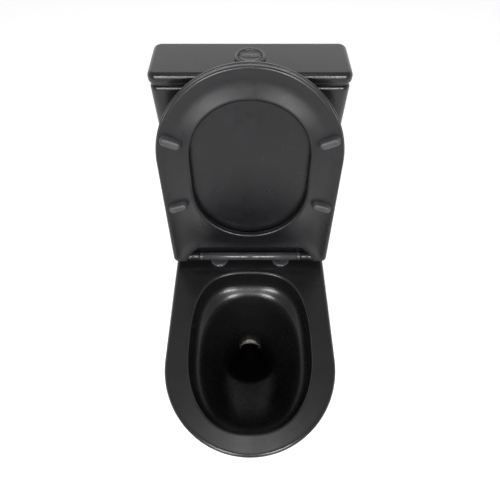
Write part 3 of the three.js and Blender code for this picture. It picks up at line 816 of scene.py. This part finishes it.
def seat_shape():
    """From the outer edge over the top to the hole, and back under the dished underside."""
    centre_y = -(SEAT_HOLE["front"] + SEAT_HOLE["rear"]) / 2
    outer, turns = seat_outline(centre_y)
    inner = hole_outline(turns, centre_y)
    rings = []
    for d, h in ((0, -3.5), (0, -1.5), (0.5, 0.4), (1.5, 1.8), (3, 2.7), (5, 3)):
        rings.append(at_height(inset(outer, d), h))
    for share in (0.25, 0.5, 0.75):
        rings.append(blend_rings(at_height(inset(outer, 6), 3), at_height(inset(inner, -7), 3), share))
    for d, h in ((7, 2.9), (4.5, 2.4), (2.4, 1.4), (0.8, -0.4), (0, -3), (0, -9)):
        rings.append(at_height(inset(inner, -d), h))
    for d, lift in ((0.5, 1.9), (1.5, 0.75), (3, 0.15)):
        rings.append([(x, y, underside((x, y), outer, inner) + lift) for x, y in inset(inner, -d)])
    inner_lip = inset(inner, -SEAT_LIP)
    outer_lip = inset(outer, SEAT_LIP)
    for share in (0, 0.05, 0.11, 0.18, 0.26, 0.35, 0.45, 0.56, 0.67, 0.77, 0.86, 0.94, 1):
        plan = blend_rings(inner_lip, outer_lip, share)
        rings.append([(x, y, underside((x, y), outer, inner)) for x, y in plan])
    for d, lift in ((3.4, 0.05), (2, 0.4), (0.9, 1.1), (0.2, 2.3), (0, 3.6)):
        rings.append([(x, y, underside((x, y), outer, inner) + lift) for x, y in inset(outer, d)])
    shape = Shape().loft(rings, closed=True)
    for side in (-1, 1):
        shape.joined(knuckle(side, SEAT_KNUCKLE))
    return shape.moved(RAISE)


def knuckle(side, profile):
    """A round solid on the hinge axis, from an (x, radius) profile, on one side."""
    points = [(profile[0][0], 0)] + profile + [(profile[-1][0], 0)]
    return along_x([(side * x, r) for x, r in points])


make("seat_ring", seat_shape(), [SEAT_PLASTIC], "seat", ["seat"], sharp=50)


def make_bumpers():
    """Long rubber lozenges with a soft crown that point outwards."""
    sides = [(0, -9.4), (0, -11.6), (0.4, -13), (1, -16.5), (1.6, -19.4)]
    crown = [(2.6, -21.3), (4.2, -22.3), (6.4, -22.7), (8, -22.7)]
    for place, x, forward, turn in BUMPERS:
        for name, side in (("left", -1), ("right", 1)):
            right = arc(11.5, 0, 9.5, 9.5, -90, 90, 12)
            outline = right + [(-px, -py) for px, py in right]
            shape = Shape().loft([at_height(inset(outline, d), h) for d, h in sides + crown])
            spin = Matrix.Rotation(math.radians(-side * turn), 4, "Z")
            shape.moved(RAISE @ Matrix.Translation((side * x, -forward, 0)) @ spin)
            node = f"seat_bumper_{place}_{name}"
            make(f"{node}_pad", shape, [BUMPER_RUBBER], "seat", [node], sharp=60)


make_bumpers()

# ---------------------------------------------------------------- lid


def lid_shape():
    """From the middle of the inner face, over the rolled edge, to the middle of the crowned outer face."""
    outline = horseshoe(LID["half"], -LID["front"], -LID["rear"], LID["corner"])
    field = inset(outline, 12)
    centre = (0, -225)
    rings = [at_height(shrunk(field, share, centre), 7) for share in (0.1, 0.5, 0.85)]
    inner_edge = [(12, 6.9), (9, 6.2), (7, 5.4), (5, 5), (2, 5.1), (0.7, 5.6), (0.1, 6.8)]
    outer_edge = [(0, 8.5), (0, 10.5), (0.3, 12), (1.2, 13.4), (2.7, 14.6), (5, 15.4), (10, 15.9)]
    for d, h in inner_edge + outer_edge:
        rings.append(at_height(inset(outline, d), h))
    for share, h in ((0.85, 16.3), (0.5, 16.8), (0.1, 17)):
        rings.append(at_height(shrunk(field, share, centre), h))
    return Shape().loft(rings)


def lid_cutters():
    """Room for the barrel, the seat's knuckles and the two posts, in the raised pose."""
    cuts = [knuckle(1, [(-112.2, KNUCKLE_ROOM), (112.2, KNUCKLE_ROOM)])]
    for side in (-1, 1):
        cuts.append(knuckle(side, [(120.6, KNUCKLE_ROOM), (154, KNUCKLE_ROOM)]))
        corners = [(side * POST_X + x, y) for x, y in ((-9, 1), (9, 1), (9, 16), (-9, 16))]
        cuts.append(Shape().loft([at_height(corners, 0), at_height(corners, 26)]))
    return [cut.moved(RAISE) for cut in cuts]


def make_lid():
    """The lid's shell, and its two knuckles between the barrel and the seat's."""
    lid = lid_shape().moved(RAISE)
    make("lid_shell", lid, [SEAT_PLASTIC], "lid", ["lid"], sharp=50, cutters=lid_cutters())
    for name, side in (("left", -1), ("right", 1)):
        shape = knuckle(side, LID_KNUCKLE)
        make(f"lid_knuckle_{name}", shape.moved(RAISE), [HINGE_PLASTIC], "lid")


make_lid()

# ---------------------------------------------------------------- hinge


def label_pad():
    """A thin plain plate wrapped round the barrel's upper front."""
    section = arc(0, 0, 9.6, 9.6, 108, 168, 10) + arc(0, 0, 10.5, 10.5, 167, 109, 10)
    rings = []
    for x, share in ((-24, 0.97), (-23.4, 1), (23.4, 1), (24, 0.97)):
        rings.append([(x, HINGE[1] + y * share, HINGE[2] + z * share) for y, z in section])
    return Shape().loft(rings)


def make_barrel():
    """The fixed housing, with a plain raised pad at its middle and a foot over each post."""
    tube = [(-112, 7.4), (-112, 9.3), (-111.3, 10), (111.3, 10), (112, 9.3), (112, 7.4)]
    shape = Shape().turned([(r, x) for x, r in tube], steps=64)
    shape.moved(Matrix(((0, 0, 1), (0, 1, 0), (-1, 0, 0))))
    shape.moved(Matrix.Translation(HINGE))
    shape.joined(label_pad())
    for side in (-1, 1):
        foot = [(4.4, 410.8), (6.4, 410.8), (7, 411.4), (7, 421.6), (4.4, 421.6)]
        shape.joined(Shape().turned(foot, side * POST_X, POST_Y, 32))
    make("hinge_housing", shape, [HINGE_PLASTIC], "fixed", ["hinge_barrel"], sharp=45)


def make_rosettes():
    """The round feet of the two posts."""
    for name, side in (("left", -1), ("right", 1)):
        profile = [
            (3.4, 405.3), (20.6, 405.3), (21, 405.9), (20.9, 407.2), (20.2, 408.6), (18.6, 409.7),
            (15.5, 410.3), (9, 410.4), (3.4, 410.4),
        ]
        shape = Shape().turned(profile, side * POST_X, POST_Y, 64)
        node = f"hinge_rosette_{name}"
        make(f"{node}_disc", shape, [HINGE_PLASTIC], "fixed", [node], sharp=50)


make_barrel()
make_rosettes()

# ---------------------------------------------------------------- pieces that keep their CAD shape


def dress_cad_nodes():
    """Gives each CAD node the material of its slot."""
    slots = {part["node"]: part["material_slot"] for part in frame["record"]["subparts"]}
    for name, node in frame["nodes"].items():
        node.data.materials.clear()
        node.data.materials.append(CAD_LOOKS[slots[name]])


dress_cad_nodes()

# ---------------------------------------------------------------- studio


def make_floor():
    """A plain pale floor that glows softly round and behind the object as painted light, and is painted
    darker far in front as painted shade.
    """
    mesh = bpy.data.meshes.new("studio_floor")
    reach = 12
    corners = [(-reach, -reach), (reach, -reach), (reach, reach), (-reach, reach)]
    mesh.from_pydata(at_height(corners, -0.0005), [], [(0, 1, 2, 3)])
    floor = bpy.data.objects.new("studio_floor", mesh)
    bpy.context.scene.collection.objects.link(floor)
    m = Nodes("pale_floor")
    split = m.tree.nodes.new("ShaderNodeSeparateXYZ")
    m.link(m.place, split.inputs["Vector"])
    behind = m.stretch(split.outputs["Y"], 0, 1, FLOOR_FADE)
    # Painted shade and painted light: the floor is darker in front and glows behind, standing in for a dim
    # room in front and bright light behind.
    painted_glow_and_shade = m.colours(behind, (0.5, 0.5, 0.5), (0.86, 0.86, 0.86), (0, 1))
    m.link(painted_glow_and_shade, m.shader.inputs["Emission Color"])
    m.link(m.stretch(behind, 0, GLOW, (0, 1)), m.shader.inputs["Emission Strength"])
    m.link(m.stretch(m.noise(8, 2), 0.7, 0.8), m.shader.inputs["Roughness"])
    mesh.materials.append(m.material)


def make_light(name, place, target, size, power):
    """A rectangular softbox turned to its target."""
    data = bpy.data.lights.new(name, "AREA")
    data.shape = "RECTANGLE"
    data.size, data.size_y = size
    data.energy = power
    lamp = bpy.data.objects.new(name, data)
    lamp.location = place
    way = Vector(target) - Vector(place)
    lamp.rotation_euler = way.to_track_quat("-Z", "Y").to_euler()
    bpy.context.scene.collection.objects.link(lamp)


def make_world():
    """A bright backdrop behind the object, dimmer overhead and in front: it fades with z less half y."""
    world = bpy.data.worlds.new("studio")
    world.use_nodes = True
    tree = world.node_tree
    place = tree.nodes.new("ShaderNodeTexCoord")
    split = tree.nodes.new("ShaderNodeSeparateXYZ")
    fade = tree.nodes.new("ShaderNodeMath")
    fade.operation = "MULTIPLY_ADD"
    fade.inputs[1].default_value = -0.5
    ramp = tree.nodes.new("ShaderNodeValToRGB")
    ramp.color_ramp.elements[0].position = 0.12
    ramp.color_ramp.elements[0].color = (BACKDROP, BACKDROP, BACKDROP, 1)
    ramp.color_ramp.elements[1].position = 0.5
    ramp.color_ramp.elements[1].color = (ROOM, ROOM, ROOM * 1.04, 1)
    tree.links.new(place.outputs["Generated"], split.inputs["Vector"])
    tree.links.new(split.outputs["Y"], fade.inputs[0])
    tree.links.new(split.outputs["Z"], fade.inputs[2])
    tree.links.new(fade.outputs["Value"], ramp.inputs["Fac"])
    tree.links.new(ramp.outputs["Color"], tree.nodes["Background"].inputs["Color"])
    bpy.context.scene.world = world


def make_camera():
    """Above the front edge of the pan, looking down at the hinge."""
    data = bpy.data.cameras.new("camera")
    data.sensor_width = 36
    data.lens = LENS
    camera = bpy.data.objects.new("camera", data)
    camera.location = CAMERA
    camera.rotation_euler = (math.pi / 2 - LOOK_DOWN, 0, 0)
    bpy.context.scene.collection.objects.link(camera)
    bpy.context.scene.camera = camera


make_floor()
make_world()
make_light("overhead_softbox", (0, -0.05, 2.8), (0, -0.2, 0.4), (0.45, 0.5), 4)
for name, side in (("left", -1), ("right", 1)):
    make_light(f"{name}_softbox", (side * 0.95, -2.2, 2.15), (0, 0.1, 0.6), (1.0, 0.5), 50)
    make_light(f"{name}_panel", (side * 0.85, -2.4, 1.0), (0, 0.1, 0.7), (0.8, 0.9), 11)
make_light("bowl_spot", (0, -0.62, 2.4), (0, -0.07, 0.2), (0.12, 0.12), 1.2)
make_camera()
bpy.context.scene.view_settings.view_transform = "Standard"
